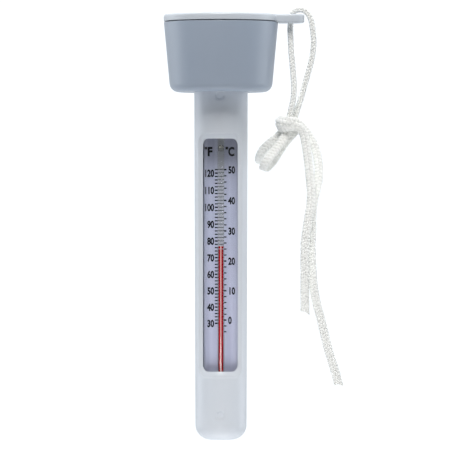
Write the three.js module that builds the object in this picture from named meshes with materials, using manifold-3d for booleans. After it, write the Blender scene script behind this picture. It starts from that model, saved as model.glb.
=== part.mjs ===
// Floating pool thermometer: a tapered float with a lid and a tab, a tube that hangs from it,
// a clear capsule with a scale card and a spirit thermometer, a ballast weight, and a tied cord.
//
// Millimetres, +Z up. The origin is on the tube's axis at the float's waterline. The window
// faces -Y and the tab points to +X.

import * as THREE from 'three';
import { mergeVertices } from 'three/addons/utils/BufferGeometryUtils.js';
import Module from 'manifold-3d';

const wasm = await Module();
wasm.setup();

// ---------------------------------------------------------------- driving dimensions

const GAP = 0.3; // clearance between pieces that touch
const SLIVER = 0.01; // details smaller than this are merged away after a cut
const ROUND = 48; // sides of the large turned pieces
const MEDIUM_ROUND = 32; // sides of the pieces inside the tube
const SMALL_ROUND = 16; // sides of the glass and the small seals

// lid
const LID_TOP = 20.4;
const LID_UNDERSIDE = 17;
const LID_RADIUS = 28.7;
const LID_EDGE = 1.2; // rounding of the lid's top edge
const LID_SKIN = 2; // thickness of the disc inside the skirt
const SKIRT_BOTTOM = 9.6;
const SKIRT_RADIUS = 25.7;
const SKIRT_WALL = 2.8;

// tab on the lid
const TAB_WIDTH = 13;
const TAB_BOTTOM = 16;
const TAB_REACH = 41.7; // from the axis to the tab's end
const TAB_EDGE = 1;
const TAB_HOLE_X = 34.9;
const TAB_HOLE_RADIUS = 3;
const TAB_HOLE_CHAMFER = 0.6;

// float cup
const CUP_TOP = 16.5;
const CUP_BOTTOM = -18.5;
const CUP_TOP_RADIUS = 28.6;
const CUP_TAPER = 0.092; // loss of radius for each millimetre of depth
const CUP_WALL = 1.8;
const CUP_FLOOR = 2;
const CUP_CORNER = 3.2;

// tube housing
const TUBE_BOTTOM = -192.4;
const TUBE_TOP = -8;
const TUBE_RADIUS_AT_CUP = 13.4;
const TUBE_RADIUS_AT_END = 12.8;
const TUBE_BORE = 11.3;
const TUBE_CORNER = 7.5;
const TUBE_FLOOR = 2.2;
const FLANGE_RADIUS = 17.5;
const FLANGE_THICKNESS = 2;
const GASKET_THICKNESS = 1;

// window in the housing
const WINDOW_TOP = -42;
const WINDOW_BOTTOM = -158;
const WINDOW_HALF_WIDTH = 8.6;
const WINDOW_CORNER = 2.6;
const BEVEL_HALF_WIDTH = 10.75; // half width where the bevel meets the outside
const BEVEL_TOP = 2.4;
const BEVEL_BOTTOM = 3;

// the two round mould marks below each other on the front of the tube
const MARK_RADIUS = 2.2;
const MARK_DEPTH = 0.35;
const MARK_HEIGHTS = [-20.2, -180.1];

// stopper in the tube's top
const STOPPER_RADIUS = 13.2;
const STOPPER_THICKNESS = 2.2;
const STOPPER_WALL = 3.2;

// clear capsule and what it holds
const CAPSULE_RADIUS = 10.9;
const CAPSULE_WALL = 1.4;
const CAPSULE_TOP = -28;
const CAPSULE_BOTTOM = -177;
const CAPSULE_CORNER = 6;
const PLUG_HEAD = 2.2;
const PLUG_DEPTH = 7;
const CARD_FRONT = 1.4; // the card's front face, behind the axis
const CARD_THICKNESS = 0.6;
const CARD_HALF_WIDTH = 8.9;
const CARD_TOP = -35.5;
const CARD_BOTTOM = -170.5;
const CARD_CORNER = 1.2;

// thermometer
const STEM_Y = -1.2; // the stem stands in front of the axis
const STEM_RADIUS = 1.6;
const STEM_TOP = -38;
const STEM_BORE = 1.1;
const CHAMBER = { top: -45.6, bottom: -48.6, radius: 1.3 };
const BULB = { top: -160.5, bottom: -169.8, radius: 2.3, wall: 0.5 };
const SPIRIT_RADIUS = 0.8;
const MENISCUS_LENGTH = 1.2;
const MENISCUS_DIP = 0.35;

// heights of three marks of the Fahrenheit scale, and the reading at rest
const SCALE_MARKS = [[30, -134.4], [80, -93.4], [122, -57.85]];
const REST_READING = 77;

// bands that hold the stem on the card
const CLIP_HEIGHTS = { upper: -39.6, lower: -159.2 };
const CLIP_HEIGHT = 1.6;
const CLIP_WALL = 0.6;

// ballast and pads
const BALLAST_TOP = -179.4;
const PAD_THICKNESS = 1.4;
const PAD_RADIUS = 7;

// seals of round section
const LID_SEAL = { height: 13, section: 0.95 };
const LID_GROOVE_DEPTH = 1.8;
const STOPPER_SEAL = { height: -13, section: 0.7 };

// cord
const CORD_RADIUS = 1.5;
const CORD_SIDES = 8;
const CORD_STEP = 6; // two diameters
const CORD_BEND_STEP = 4; // on the strand that bends round the tab's end
const KNOT_CENTRE = [34.2, 0.8, -36.3];

// ---------------------------------------------------------------- materials

const paint = (color, roughness, metalness = 0) =>
  new THREE.MeshStandardMaterial({ color, roughness, metalness });

const LID_PLASTIC = paint(0xd3dae2, 0.35);
const CUP_PLASTIC = paint(0xa9b6c8, 0.35);
const TUBE_PLASTIC = paint(0xd5dbe4, 0.3);
const CLEAR_PLASTIC = paint(0xe4ecf2, 0.08);
const GLASS = paint(0xe9eee6, 0.05);
const RED_SPIRIT = paint(0xc8171f, 0.25);
const CARD_STOCK = paint(0xb7b8cf, 0.7);
const RUBBER = paint(0x2f3136, 0.85);
const FOAM = paint(0xdedad0, 0.95);
const STEEL = paint(0x8d9196, 0.4, 1);
const CORD_YARN = paint(0xf1f1ee, 0.9);

// ---------------------------------------------------------------- solids

// A closed mesh as a manifold solid: corners are merged and collapsed triangles dropped.
function solid(geometry) {
  const bare = new THREE.BufferGeometry();
  bare.setAttribute('position', geometry.attributes.position.clone());
  if (geometry.index) bare.setIndex(geometry.index);
  const merged = mergeVertices(bare, 1e-4);
  const triangles = [];
  for (let i = 0; i < merged.index.count; i += 3) {
    const corners = [0, 1, 2].map((k) => merged.index.getX(i + k));
    if (new Set(corners).size === 3) triangles.push(...corners);
  }
  return new wasm.Manifold(new wasm.Mesh({
    numProp: 3,
    vertProperties: new Float32Array(merged.attributes.position.array),
    triVerts: new Uint32Array(triangles),
  }));
}

const group = new THREE.Group();

// Adds a solid to the object as a named mesh.
function addPiece(name, material, shape) {
  const mesh = shape.asOriginal().simplify(SLIVER).getMesh();
  const geometry = new THREE.BufferGeometry();
  geometry.setAttribute('position', new THREE.BufferAttribute(mesh.vertProperties, 3));
  geometry.setIndex(new THREE.BufferAttribute(mesh.triVerts, 1));
  geometry.computeVertexNormals();
  const piece = new THREE.Mesh(geometry, material);
  piece.name = name;
  group.add(piece);
}

// A solid turned about Z from [radius, height] points, which run anticlockwise in that plane.
function turned(profile, sides = ROUND) {
  const points = profile.map(([r, z]) => new THREE.Vector2(r, z));
  return solid(new THREE.LatheGeometry(points, sides).rotateX(Math.PI / 2));
}

// A turned ring: the profile closes on itself.
const turnedRing = (profile, sides = ROUND) => turned([...profile, profile[0]], sides);

// Points of an arc about [r, z], from one angle to another in degrees, both ends included.
function arc([r, z], radius, from, to, steps = 6) {
  return Array.from({ length: steps + 1 }, (_, i) => {
    const angle = THREE.MathUtils.degToRad(from + ((to - from) * i) / steps);
    return [r + radius * Math.cos(angle), z + radius * Math.sin(angle)];
  });
}

const disc = (radius, bottom, top, sides) =>
  turned([[0, bottom], [radius, bottom], [radius, top], [0, top]], sides);

const washer = (inner, outer, bottom, top, sides) =>
  turnedRing([[inner, bottom], [outer, bottom], [outer, top], [inner, top]], sides);

const sealRing = (radius, height, section, sides) =>
  turnedRing(arc([radius, height], section, 0, 315, 7), sides);

const box = (size, centre) =>
  solid(new THREE.BoxGeometry(...size).translate(...centre));

const ellipsoid = (radii, centre) =>
  solid(new THREE.SphereGeometry(1, 16, 12).scale(...radii).translate(...centre));

// ---------------------------------------------------------------- lid

const SKIRT_INNER = SKIRT_RADIUS - SKIRT_WALL;

function lidDisc() {
  const groove = {
    floor: SKIRT_RADIUS - LID_GROOVE_DEPTH,
    bottom: LID_SEAL.height - LID_SEAL.section - GAP,
    top: LID_SEAL.height + LID_SEAL.section + GAP,
  };
  return turned([
    [0, LID_TOP - LID_SKIN],
    [SKIRT_INNER, LID_TOP - LID_SKIN],
    [SKIRT_INNER, SKIRT_BOTTOM],
    [SKIRT_RADIUS, SKIRT_BOTTOM],
    [SKIRT_RADIUS, groove.bottom],
    [groove.floor, groove.bottom],
    [groove.floor, groove.top],
    [SKIRT_RADIUS, groove.top],
    [SKIRT_RADIUS, LID_UNDERSIDE],
    [LID_RADIUS, LID_UNDERSIDE],
    ...arc([LID_RADIUS - LID_EDGE, LID_TOP - LID_EDGE], LID_EDGE, 0, 90),
    [0, LID_TOP],
  ]);
}

// The tab: a bar with a full-round end and rounded edges, clear of the cup's rim.
function tab() {
  const half = TAB_WIDTH / 2 - TAB_EDGE;
  const endCentre = TAB_REACH - TAB_WIDTH / 2;
  const outline = new THREE.Shape();
  outline.moveTo(SKIRT_RADIUS, -half);
  outline.lineTo(endCentre, -half);
  outline.absarc(endCentre, 0, half, -Math.PI / 2, Math.PI / 2);
  outline.lineTo(SKIRT_RADIUS, half);
  const bar = new THREE.ExtrudeGeometry(outline, {
    depth: LID_TOP - TAB_BOTTOM - 2 * TAB_EDGE,
    bevelThickness: TAB_EDGE,
    bevelSize: TAB_EDGE,
    bevelSegments: 3,
    curveSegments: 12,
  });
  bar.translate(0, 0, TAB_BOTTOM + TAB_EDGE);
  const cupSpace = disc(CUP_TOP_RADIUS + 2 * GAP, SKIRT_BOTTOM, LID_UNDERSIDE);
  return solid(bar).subtract(cupSpace);
}

// The hole's cutter, wider at both faces of the tab.
function tabHole() {
  const wide = TAB_HOLE_RADIUS + TAB_HOLE_CHAMFER;
  return turned([
    [0, TAB_BOTTOM - 1],
    [wide, TAB_BOTTOM - 1],
    [wide, TAB_BOTTOM],
    [TAB_HOLE_RADIUS, TAB_BOTTOM + TAB_HOLE_CHAMFER],
    [TAB_HOLE_RADIUS, LID_TOP - TAB_HOLE_CHAMFER],
    [wide, LID_TOP],
    [wide, LID_TOP + 1],
    [0, LID_TOP + 1],
  ], SMALL_ROUND).translate([TAB_HOLE_X, 0, 0]);
}

addPiece('float_lid', LID_PLASTIC, lidDisc().add(tab()).subtract(tabHole()));

const lidSealRadius = SKIRT_RADIUS - LID_GROOVE_DEPTH + GAP + LID_SEAL.section;
addPiece('lid_seal', RUBBER, sealRing(lidSealRadius, LID_SEAL.height, LID_SEAL.section));

// ---------------------------------------------------------------- float cup

const cupRadius = (z) => CUP_TOP_RADIUS - CUP_TAPER * (CUP_TOP - z);
const CUP_HOLE = TUBE_RADIUS_AT_CUP + GAP;
const CUP_FLOOR_TOP = CUP_BOTTOM + CUP_FLOOR;

function cup() {
  const corner = CUP_BOTTOM + CUP_CORNER;
  const innerCorner = CUP_CORNER - CUP_WALL;
  return turnedRing([
    [CUP_HOLE, CUP_BOTTOM],
    ...arc([cupRadius(corner) - CUP_CORNER, corner], CUP_CORNER, -90, 0),
    [cupRadius(CUP_TOP), CUP_TOP],
    [cupRadius(CUP_TOP) - CUP_WALL, CUP_TOP],
    ...arc(
      [cupRadius(corner) - CUP_CORNER, CUP_FLOOR_TOP + innerCorner],
      innerCorner, 0, -90, 3,
    ),
    [CUP_HOLE, CUP_FLOOR_TOP],
  ]);
}

addPiece('float_cup', CUP_PLASTIC, cup());

// ---------------------------------------------------------------- tube housing

const FLANGE_BOTTOM = CUP_FLOOR_TOP + GASKET_THICKNESS + 2 * GAP;

// Outside radius of the tube below the cup, which shrinks evenly down to the end's corner.
const tubeRadius = (z) => THREE.MathUtils.mapLinear(
  z, CUP_BOTTOM, TUBE_BOTTOM + TUBE_CORNER, TUBE_RADIUS_AT_CUP, TUBE_RADIUS_AT_END,
);

function tubeBody() {
  const innerCorner = TUBE_CORNER - TUBE_FLOOR;
  const floor = TUBE_BOTTOM + TUBE_FLOOR;
  // rings beyond the window's ends, which keep its cut edges short
  const [above, below] = [WINDOW_TOP + 6, WINDOW_BOTTOM - 6];
  return turned([
    [0, TUBE_BOTTOM],
    ...arc(
      [TUBE_RADIUS_AT_END - TUBE_CORNER, TUBE_BOTTOM + TUBE_CORNER],
      TUBE_CORNER, -90, 0, 8,
    ),
    [tubeRadius(below), below],
    [tubeRadius(above), above],
    [TUBE_RADIUS_AT_CUP, CUP_BOTTOM],
    [TUBE_RADIUS_AT_CUP, FLANGE_BOTTOM],
    [FLANGE_RADIUS, FLANGE_BOTTOM],
    [FLANGE_RADIUS, FLANGE_BOTTOM + FLANGE_THICKNESS],
    [TUBE_RADIUS_AT_CUP, FLANGE_BOTTOM + FLANGE_THICKNESS],
    [TUBE_RADIUS_AT_CUP, TUBE_TOP],
    [TUBE_BORE, TUBE_TOP],
    [TUBE_BORE, above],
    [TUBE_BORE, below],
    ...arc([TUBE_BORE - innerCorner, floor + innerCorner], innerCorner, 0, -90),
    [0, floor],
  ]);
}

// The window's outline at one distance from the axis, as points in space. The rounded
// rectangle is drawn as arc length against height and wrapped round the tube.
function windowRing(radius, halfAngle, top, bottom, corner) {
  const half = radius * halfAngle;
  const shape = new THREE.Shape();
  shape.absarc(half - corner, bottom + corner, corner, -Math.PI / 2, 0);
  shape.absarc(half - corner, top - corner, corner, 0, Math.PI / 2);
  shape.absarc(corner - half, top - corner, corner, Math.PI / 2, Math.PI);
  shape.absarc(corner - half, bottom + corner, corner, Math.PI, 1.5 * Math.PI);
  const edge = shape.getPoints(4);
  return divided(edge).map(([s, z]) => [
    radius * Math.sin(s / radius),
    -radius * Math.cos(s / radius),
    z,
  ]);
}

// Points of a closed outline without doubles, with the two level edges cut into short steps
// so that they follow the tube's curve.
function divided(edge) {
  const steps = 6;
  const points = [];
  edge.forEach((start, i) => {
    const end = edge[(i + 1) % edge.length];
    const length = start.distanceTo(end);
    if (length < 1e-6) return;
    const level = Math.abs(start.y - end.y) < 1e-6 && length > 1;
    const count = level ? steps : 1;
    for (let k = 0; k < count; k += 1) {
      const point = start.clone().lerp(end, k / count);
      points.push([point.x, point.y]);
    }
  });
  return points;
}

// A solid between rings of points that grow outwards. A fan of triangles closes each end:
// the first ring's meets at the inner point, and the last ring's at the outer point.
function lofted(rings, inner, outer) {
  const count = rings[0].length;
  const points = [...rings.flat(), inner, outer];
  const triangles = [];
  for (let level = 0; level + 1 < rings.length; level += 1) {
    for (let i = 0; i < count; i += 1) {
      const next = (i + 1) % count;
      const [a, b] = [level * count + i, level * count + next];
      triangles.push(a, b, a + count, b, b + count, a + count);
    }
  }
  const last = (rings.length - 1) * count;
  for (let i = 0; i < count; i += 1) {
    const next = (i + 1) % count;
    triangles.push(next, i, points.length - 2);
    triangles.push(last + i, last + next, points.length - 1);
  }
  const geometry = new THREE.BufferGeometry();
  const flat = new Float32Array(points.flat());
  geometry.setAttribute('position', new THREE.BufferAttribute(flat, 3));
  geometry.setIndex(triangles);
  return solid(geometry);
}

// The window's cutter. Its outline grows at one slope from inside the bore to outside the
// tube, and has the window's size at the bore and the bevel's size at the tube's surface.
function windowCutter() {
  const surface = (TUBE_RADIUS_AT_CUP + TUBE_RADIUS_AT_END) / 2;
  const boreAngle = Math.asin(WINDOW_HALF_WIDTH / TUBE_BORE);
  const surfaceAngle = Math.asin(BEVEL_HALF_WIDTH / surface);
  const middle = (WINDOW_TOP + WINDOW_BOTTOM) / 2;
  const rings = [TUBE_BORE - 1, TUBE_RADIUS_AT_CUP + 1].map((radius) => {
    const growth = (radius - TUBE_BORE) / (surface - TUBE_BORE);
    return windowRing(
      radius,
      boreAngle + growth * (surfaceAngle - boreAngle),
      WINDOW_TOP + growth * BEVEL_TOP,
      WINDOW_BOTTOM - growth * BEVEL_BOTTOM,
      WINDOW_CORNER + growth * BEVEL_TOP / 2,
    );
  });
  return lofted(rings, [0, 0, middle], [0, -3 * TUBE_RADIUS_AT_CUP, middle]);
}

function mouldMark(height) {
  const depth = 2;
  const bar = new THREE.CylinderGeometry(MARK_RADIUS, MARK_RADIUS, depth, 24);
  return solid(bar.translate(0, MARK_DEPTH - tubeRadius(height) - depth / 2, height));
}

let housing = tubeBody().subtract(windowCutter());
for (const height of MARK_HEIGHTS) housing = housing.subtract(mouldMark(height));
addPiece('tube_housing', TUBE_PLASTIC, housing);

addPiece('flange_gasket', RUBBER, washer(
  CUP_HOLE, FLANGE_RADIUS - GAP, CUP_FLOOR_TOP + GAP, FLANGE_BOTTOM - GAP,
));

// ---------------------------------------------------------------- stopper in the tube's top

const PLUG_TOP = CAPSULE_TOP + GAP + PLUG_HEAD;
const STOPPER_BODY = TUBE_BORE - GAP;

function stopper() {
  const rim = TUBE_TOP + GAP;
  const groove = {
    floor: STOPPER_BODY - 2 * STOPPER_SEAL.section - GAP,
    bottom: STOPPER_SEAL.height - STOPPER_SEAL.section - GAP,
    top: STOPPER_SEAL.height + STOPPER_SEAL.section + GAP,
  };
  return turned([
    [0, rim],
    [STOPPER_BODY - STOPPER_WALL, rim],
    [STOPPER_BODY - STOPPER_WALL, PLUG_TOP + GAP],
    [STOPPER_BODY, PLUG_TOP + GAP],
    [STOPPER_BODY, groove.bottom],
    [groove.floor, groove.bottom],
    [groove.floor, groove.top],
    [STOPPER_BODY, groove.top],
    [STOPPER_BODY, rim],
    [STOPPER_RADIUS, rim],
    [STOPPER_RADIUS, rim + STOPPER_THICKNESS],
    [0, rim + STOPPER_THICKNESS],
  ], MEDIUM_ROUND);
}

addPiece('housing_stopper', CUP_PLASTIC, stopper());

const stopperSealRadius = STOPPER_BODY - STOPPER_SEAL.section;
addPiece('stopper_seal', RUBBER, sealRing(
  stopperSealRadius, STOPPER_SEAL.height, STOPPER_SEAL.section, MEDIUM_ROUND,
));

// ---------------------------------------------------------------- clear capsule

const CAPSULE_BORE = CAPSULE_RADIUS - CAPSULE_WALL;
const CAPSULE_FLOOR = CAPSULE_BOTTOM + CAPSULE_WALL;
const CAPSULE_INNER_CORNER = CAPSULE_CORNER - CAPSULE_WALL;

function capsule() {
  return turned([
    [0, CAPSULE_BOTTOM],
    ...arc(
      [CAPSULE_RADIUS - CAPSULE_CORNER, CAPSULE_BOTTOM + CAPSULE_CORNER],
      CAPSULE_CORNER, -90, 0,
    ),
    [CAPSULE_RADIUS, CAPSULE_TOP],
    [CAPSULE_BORE, CAPSULE_TOP],
    ...arc(
      [CAPSULE_BORE - CAPSULE_INNER_CORNER, CAPSULE_FLOOR + CAPSULE_INNER_CORNER],
      CAPSULE_INNER_CORNER, 0, -90,
    ),
    [0, CAPSULE_FLOOR],
  ], MEDIUM_ROUND);
}

addPiece('clear_capsule', CLEAR_PLASTIC, capsule());

addPiece('capsule_plug', RUBBER, turned([
  [0, CAPSULE_TOP - PLUG_DEPTH],
  [CAPSULE_BORE - GAP, CAPSULE_TOP - PLUG_DEPTH],
  [CAPSULE_BORE - GAP, CAPSULE_TOP + GAP],
  [CAPSULE_RADIUS, CAPSULE_TOP + GAP],
  [CAPSULE_RADIUS, PLUG_TOP],
  [0, PLUG_TOP],
], MEDIUM_ROUND));

// Soft cushion that fills the capsule's round end under the bulb and the card.
addPiece('bulb_cushion', FOAM, turned([
  [0, CAPSULE_FLOOR + GAP],
  ...arc(
    [CAPSULE_BORE - CAPSULE_INNER_CORNER - GAP, CAPSULE_FLOOR + CAPSULE_INNER_CORNER + GAP],
    CAPSULE_INNER_CORNER, -90, -6, 5,
  ),
  [0, CARD_BOTTOM - GAP],
], MEDIUM_ROUND));

// ---------------------------------------------------------------- scale card

function card() {
  const middle = (CARD_TOP + CARD_BOTTOM) / 2;
  const halfHeight = (CARD_TOP - CARD_BOTTOM) / 2;
  const outline = new THREE.Shape();
  const [x, z] = [CARD_HALF_WIDTH - CARD_CORNER, halfHeight - CARD_CORNER];
  outline.absarc(x, z, CARD_CORNER, 0, Math.PI / 2);
  outline.absarc(-x, z, CARD_CORNER, Math.PI / 2, Math.PI);
  outline.absarc(-x, -z, CARD_CORNER, Math.PI, 1.5 * Math.PI);
  outline.absarc(x, -z, CARD_CORNER, 1.5 * Math.PI, 2 * Math.PI);
  const sheet = new THREE.ExtrudeGeometry(outline, {
    depth: CARD_THICKNESS, bevelEnabled: false, curveSegments: 4,
  });
  sheet.rotateX(Math.PI / 2).translate(0, CARD_FRONT + CARD_THICKNESS, middle);
  return solid(sheet);
}

addPiece('scale_card', CARD_STOCK, card());

// ---------------------------------------------------------------- thermometer

// Height of a Fahrenheit reading: the parabola through the three marks of the scale.
function scaleHeight(reading) {
  return SCALE_MARKS.reduce((sum, [degree, z], i) => {
    const others = SCALE_MARKS.filter((_, k) => k !== i);
    const weight = others.reduce((w, [d]) => (w * (reading - d)) / (degree - d), 1);
    return sum + z * weight;
  }, 0);
}

const onStem = (shape) => shape.translate([0, STEM_Y, 0]);
const BULB_SHOULDER = 1;
const BULB_NECK = BULB.top - BULB_SHOULDER;

// The glass stem and its bulb. The bore runs out through the tip.
function stem() {
  const cavity = BULB.radius - BULB.wall;
  return onStem(turned([
    [0, BULB.bottom],
    ...arc([0, BULB.bottom + BULB.radius], BULB.radius, -75, 0, 4),
    [BULB.radius, BULB_NECK],
    [STEM_RADIUS, BULB.top],
    ...arc([STEM_RADIUS - 0.4, STEM_TOP - 0.4], 0.4, 0, 90, 2),
    [STEM_BORE, STEM_TOP],
    [STEM_BORE, CHAMBER.top + GAP],
    [CHAMBER.radius, CHAMBER.top],
    [CHAMBER.radius, CHAMBER.bottom],
    [STEM_BORE, CHAMBER.bottom - GAP],
    [STEM_BORE, BULB_NECK],
    [cavity, BULB_NECK - BULB_SHOULDER],
    ...arc([0, BULB.bottom + BULB.radius], cavity, 0, -75, 4),
    [0, BULB.bottom + BULB.wall],
  ], SMALL_ROUND));
}

addPiece('glass_stem', GLASS, stem());

const BULB_SPIRIT_TOP = BULB_NECK - BULB_SHOULDER - GAP;
const MENISCUS_BOTTOM = scaleHeight(REST_READING) - MENISCUS_LENGTH;

addPiece('spirit_in_bulb', RED_SPIRIT, onStem(turned([
  [0, BULB.bottom + BULB.wall + GAP],
  ...arc([0, BULB.bottom + BULB.radius], BULB.radius - BULB.wall - GAP, -75, 0, 4),
  [BULB.radius - BULB.wall - GAP, BULB_SPIRIT_TOP],
  [0, BULB_SPIRIT_TOP],
], SMALL_ROUND)));

addPiece('spirit_column', RED_SPIRIT, onStem(
  disc(SPIRIT_RADIUS, BULB_SPIRIT_TOP + GAP, MENISCUS_BOTTOM - GAP, SMALL_ROUND),
));

addPiece('spirit_meniscus', RED_SPIRIT, onStem(turned([
  [0, MENISCUS_BOTTOM],
  [SPIRIT_RADIUS, MENISCUS_BOTTOM],
  [SPIRIT_RADIUS, MENISCUS_BOTTOM + MENISCUS_LENGTH],
  [SPIRIT_RADIUS / 2, MENISCUS_BOTTOM + MENISCUS_LENGTH - 0.8 * MENISCUS_DIP],
  [0, MENISCUS_BOTTOM + MENISCUS_LENGTH - MENISCUS_DIP],
], SMALL_ROUND)));

// A band round the front of the stem, with two feet that lie on the card.
function clip(height) {
  const inner = STEM_RADIUS + GAP;
  const outer = inner + CLIP_WALL;
  const foot = 1.8;
  const footBack = CARD_FRONT - GAP;
  const [bottom, top] = [height - CLIP_HEIGHT / 2, height + CLIP_HEIGHT / 2];
  const footShape = (side) => box(
    [foot, CLIP_WALL, CLIP_HEIGHT],
    [side * (outer + foot / 2 - CLIP_WALL), footBack - CLIP_WALL / 2, height],
  );
  const legFront = STEM_Y - CLIP_WALL;
  const legShape = (side) => box(
    [CLIP_WALL, footBack - legFront, CLIP_HEIGHT],
    [side * (outer - CLIP_WALL / 2), (footBack + legFront) / 2, height],
  );
  const behind = box(
    [3 * outer, 2 * outer, 2 * CLIP_HEIGHT],
    [0, STEM_Y + outer, height],
  );
  const band = onStem(washer(inner, outer, bottom, top, SMALL_ROUND)).subtract(behind);
  return [-1, 1].reduce((shape, side) => shape.add(legShape(side)).add(footShape(side)), band);
}

addPiece('upper_clip', STEEL, clip(CLIP_HEIGHTS.upper));
addPiece('lower_clip', STEEL, clip(CLIP_HEIGHTS.lower));

// ---------------------------------------------------------------- ballast

const PAD_TOP = CAPSULE_BOTTOM - GAP;
addPiece('capsule_pad', FOAM, disc(PAD_RADIUS, PAD_TOP - PAD_THICKNESS, PAD_TOP, MEDIUM_ROUND));

function ballast() {
  const corner = TUBE_CORNER - TUBE_FLOOR;
  const bottom = TUBE_BOTTOM + TUBE_FLOOR + GAP;
  return turned([
    [0, bottom],
    ...arc([TUBE_BORE - GAP - corner, bottom + corner], corner, -90, 0),
    [TUBE_BORE - GAP, BALLAST_TOP - 1],
    [TUBE_BORE - GAP - 1, BALLAST_TOP],
    [0, BALLAST_TOP],
  ], MEDIUM_ROUND);
}

addPiece('ballast_weight', STEEL, ballast());

// ---------------------------------------------------------------- cord

// Routes of the cord's free stretches. Each one starts or ends inside the knot.
const ROUTES = {
  cord_strand_front: [
    [34.9, 0, 17.2], [34.7, 0, 12.5], [34.9, -0.2, 7], [35.2, -0.5, 1.5], [35.7, -0.8, -4],
    [36.2, -1.1, -10], [36.6, -1.4, -16], [36.2, -1.6, -22], [35.1, -1.6, -27.5],
    [34.3, -1.4, -32], [33.9, -1.5, -35],
  ],
  cord_strand_back: [
    [34.9, 0, 17.8], [35.3, 0, 20.1], [36.9, 0, 22.1], [39.4, 0, 22.8], [41.8, 0.1, 22.2],
    [43.7, 0.2, 20.5], [44.9, 0.3, 18.2], [45.6, 0.4, 15.2], [46.1, 0.5, 11.5],
    [46.4, 0.6, 7.5], [46.2, 0.8, 3.2], [45.4, 1.1, -1.8], [44.2, 1.4, -6.8],
    [42.7, 1.6, -12], [41.2, 1.8, -17.5], [39.8, 1.9, -22.3], [38.1, 1.9, -27.2],
    [36.3, 1.7, -31.3], [34.8, 1.7, -34.4],
  ],
  cord_bow_front: [
    [32.8, -2.4, -39.3], [31, -3.9, -42.6], [28.5, -5.9, -46], [25.9, -8, -49.5],
    [23.6, -9.5, -52.6], [21.9, -8.6, -55.3], [21.6, -5.6, -56.8], [23.2, -2.6, -56.2],
    [26, -1.2, -53.2], [28.8, -0.8, -48.8], [31.6, -0.7, -44.5], [34.3, -0.5, -41.2],
  ],
  cord_bow_back: [
    [32.2, 1.9, -37.4], [29, 1.8, -40.2], [25.4, 1.5, -43.2], [21.9, 1.4, -46.3],
    [19.7, 2.2, -49.6], [18.9, 4.6, -52.3], [19.9, 7.8, -53.2], [22.3, 9.6, -51],
    [24.8, 9.4, -47.6], [27.3, 8, -44.4], [29.4, 6.9, -41.3], [31.8, 5.2, -37.6],
  ],
  cord_tail_short: [
    [36.2, -4.2, -35.8], [39.4, -4, -36.4], [41.4, -3, -39.4], [42.3, -2.4, -43.5],
    [43.2, -2.2, -49], [44, -2.1, -55.5], [44.7, -2, -62.5], [45.2, -2, -69],
    [44.9, -2, -75], [44, -2.1, -81], [43, -2.2, -87], [42.2, -2.2, -93.5],
    [42, -2, -101], [42, -1.6, -110], [42, -1.2, -119], [42.1, -0.9, -128.5],
  ],
  cord_tail_long: [
    [36.4, -2, -34], [40.4, -0.6, -35.8], [43.3, 0.8, -39.4], [45.5, 1.6, -43],
    [47.2, 1.9, -46.8], [48.3, 1.9, -51.5], [48.9, 1.9, -57], [48.6, 1.8, -62.5],
    [47.6, 1.8, -67.5], [46.5, 1.8, -72.5], [45.7, 1.7, -77.5], [45.5, 1.6, -83],
    [45.5, 1.5, -88], [45.2, 1.4, -93], [45.3, 1.2, -98.5], [45.5, 1.1, -105],
    [46, 0.9, -112.5], [46.9, 0.8, -119.5], [48.3, 0.6, -126], [50, 0.4, -132],
    [51.4, 0.3, -138], [53.2, 0.1, -145.5], [55.3, 0, -152.5], [57.2, -0.2, -158.5],
    [58.9, -0.3, -164.8],
  ],
};

function cordTube(name, route) {
  const path = new THREE.CatmullRomCurve3(route.map((point) => new THREE.Vector3(...point)));
  const section = new THREE.Shape(Array.from({ length: CORD_SIDES }, (_, i) => {
    const angle = (2 * Math.PI * i) / CORD_SIDES;
    return new THREE.Vector2(CORD_RADIUS * Math.cos(angle), CORD_RADIUS * Math.sin(angle));
  }));
  const step = name === 'cord_strand_back' ? CORD_BEND_STEP : CORD_STEP;
  const steps = Math.round(path.getLength() / step);
  return solid(new THREE.ExtrudeGeometry(section, { steps, extrudePath: path }));
}

// The knot's outer shape, or the space that the free stretches leave round it.
function knot(margin = 0) {
  const [x, y, z] = KNOT_CENTRE;
  const lobes = [
    { radii: [5.8, 7.8, 6.6], at: [x, y, z] },
    { radii: [3.6, 6.6, 4.4], at: [x - 3.6, y, z + 2.3] },
  ];
  return lobes
    .map(({ radii, at }) => ellipsoid(radii.map((r) => r + margin), at))
    .reduce((whole, lobe) => whole.add(lobe));
}

for (const [name, route] of Object.entries(ROUTES)) {
  addPiece(name, CORD_YARN, cordTube(name, route).subtract(knot(GAP)));
}
addPiece('cord_knot', CORD_YARN, knot());

export default group;
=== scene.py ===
"""Floating pool thermometer: the looks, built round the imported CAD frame.

Everything is in metres in the frame's own axes: +Z up, the window towards -Y, the tab towards
+X, and the origin on the tube's axis at the waterline. Sizes of detail are in millimetres
times MM.
"""

import math

import bmesh
import bpy
import numpy as np
from mathutils import Matrix, Vector


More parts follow.
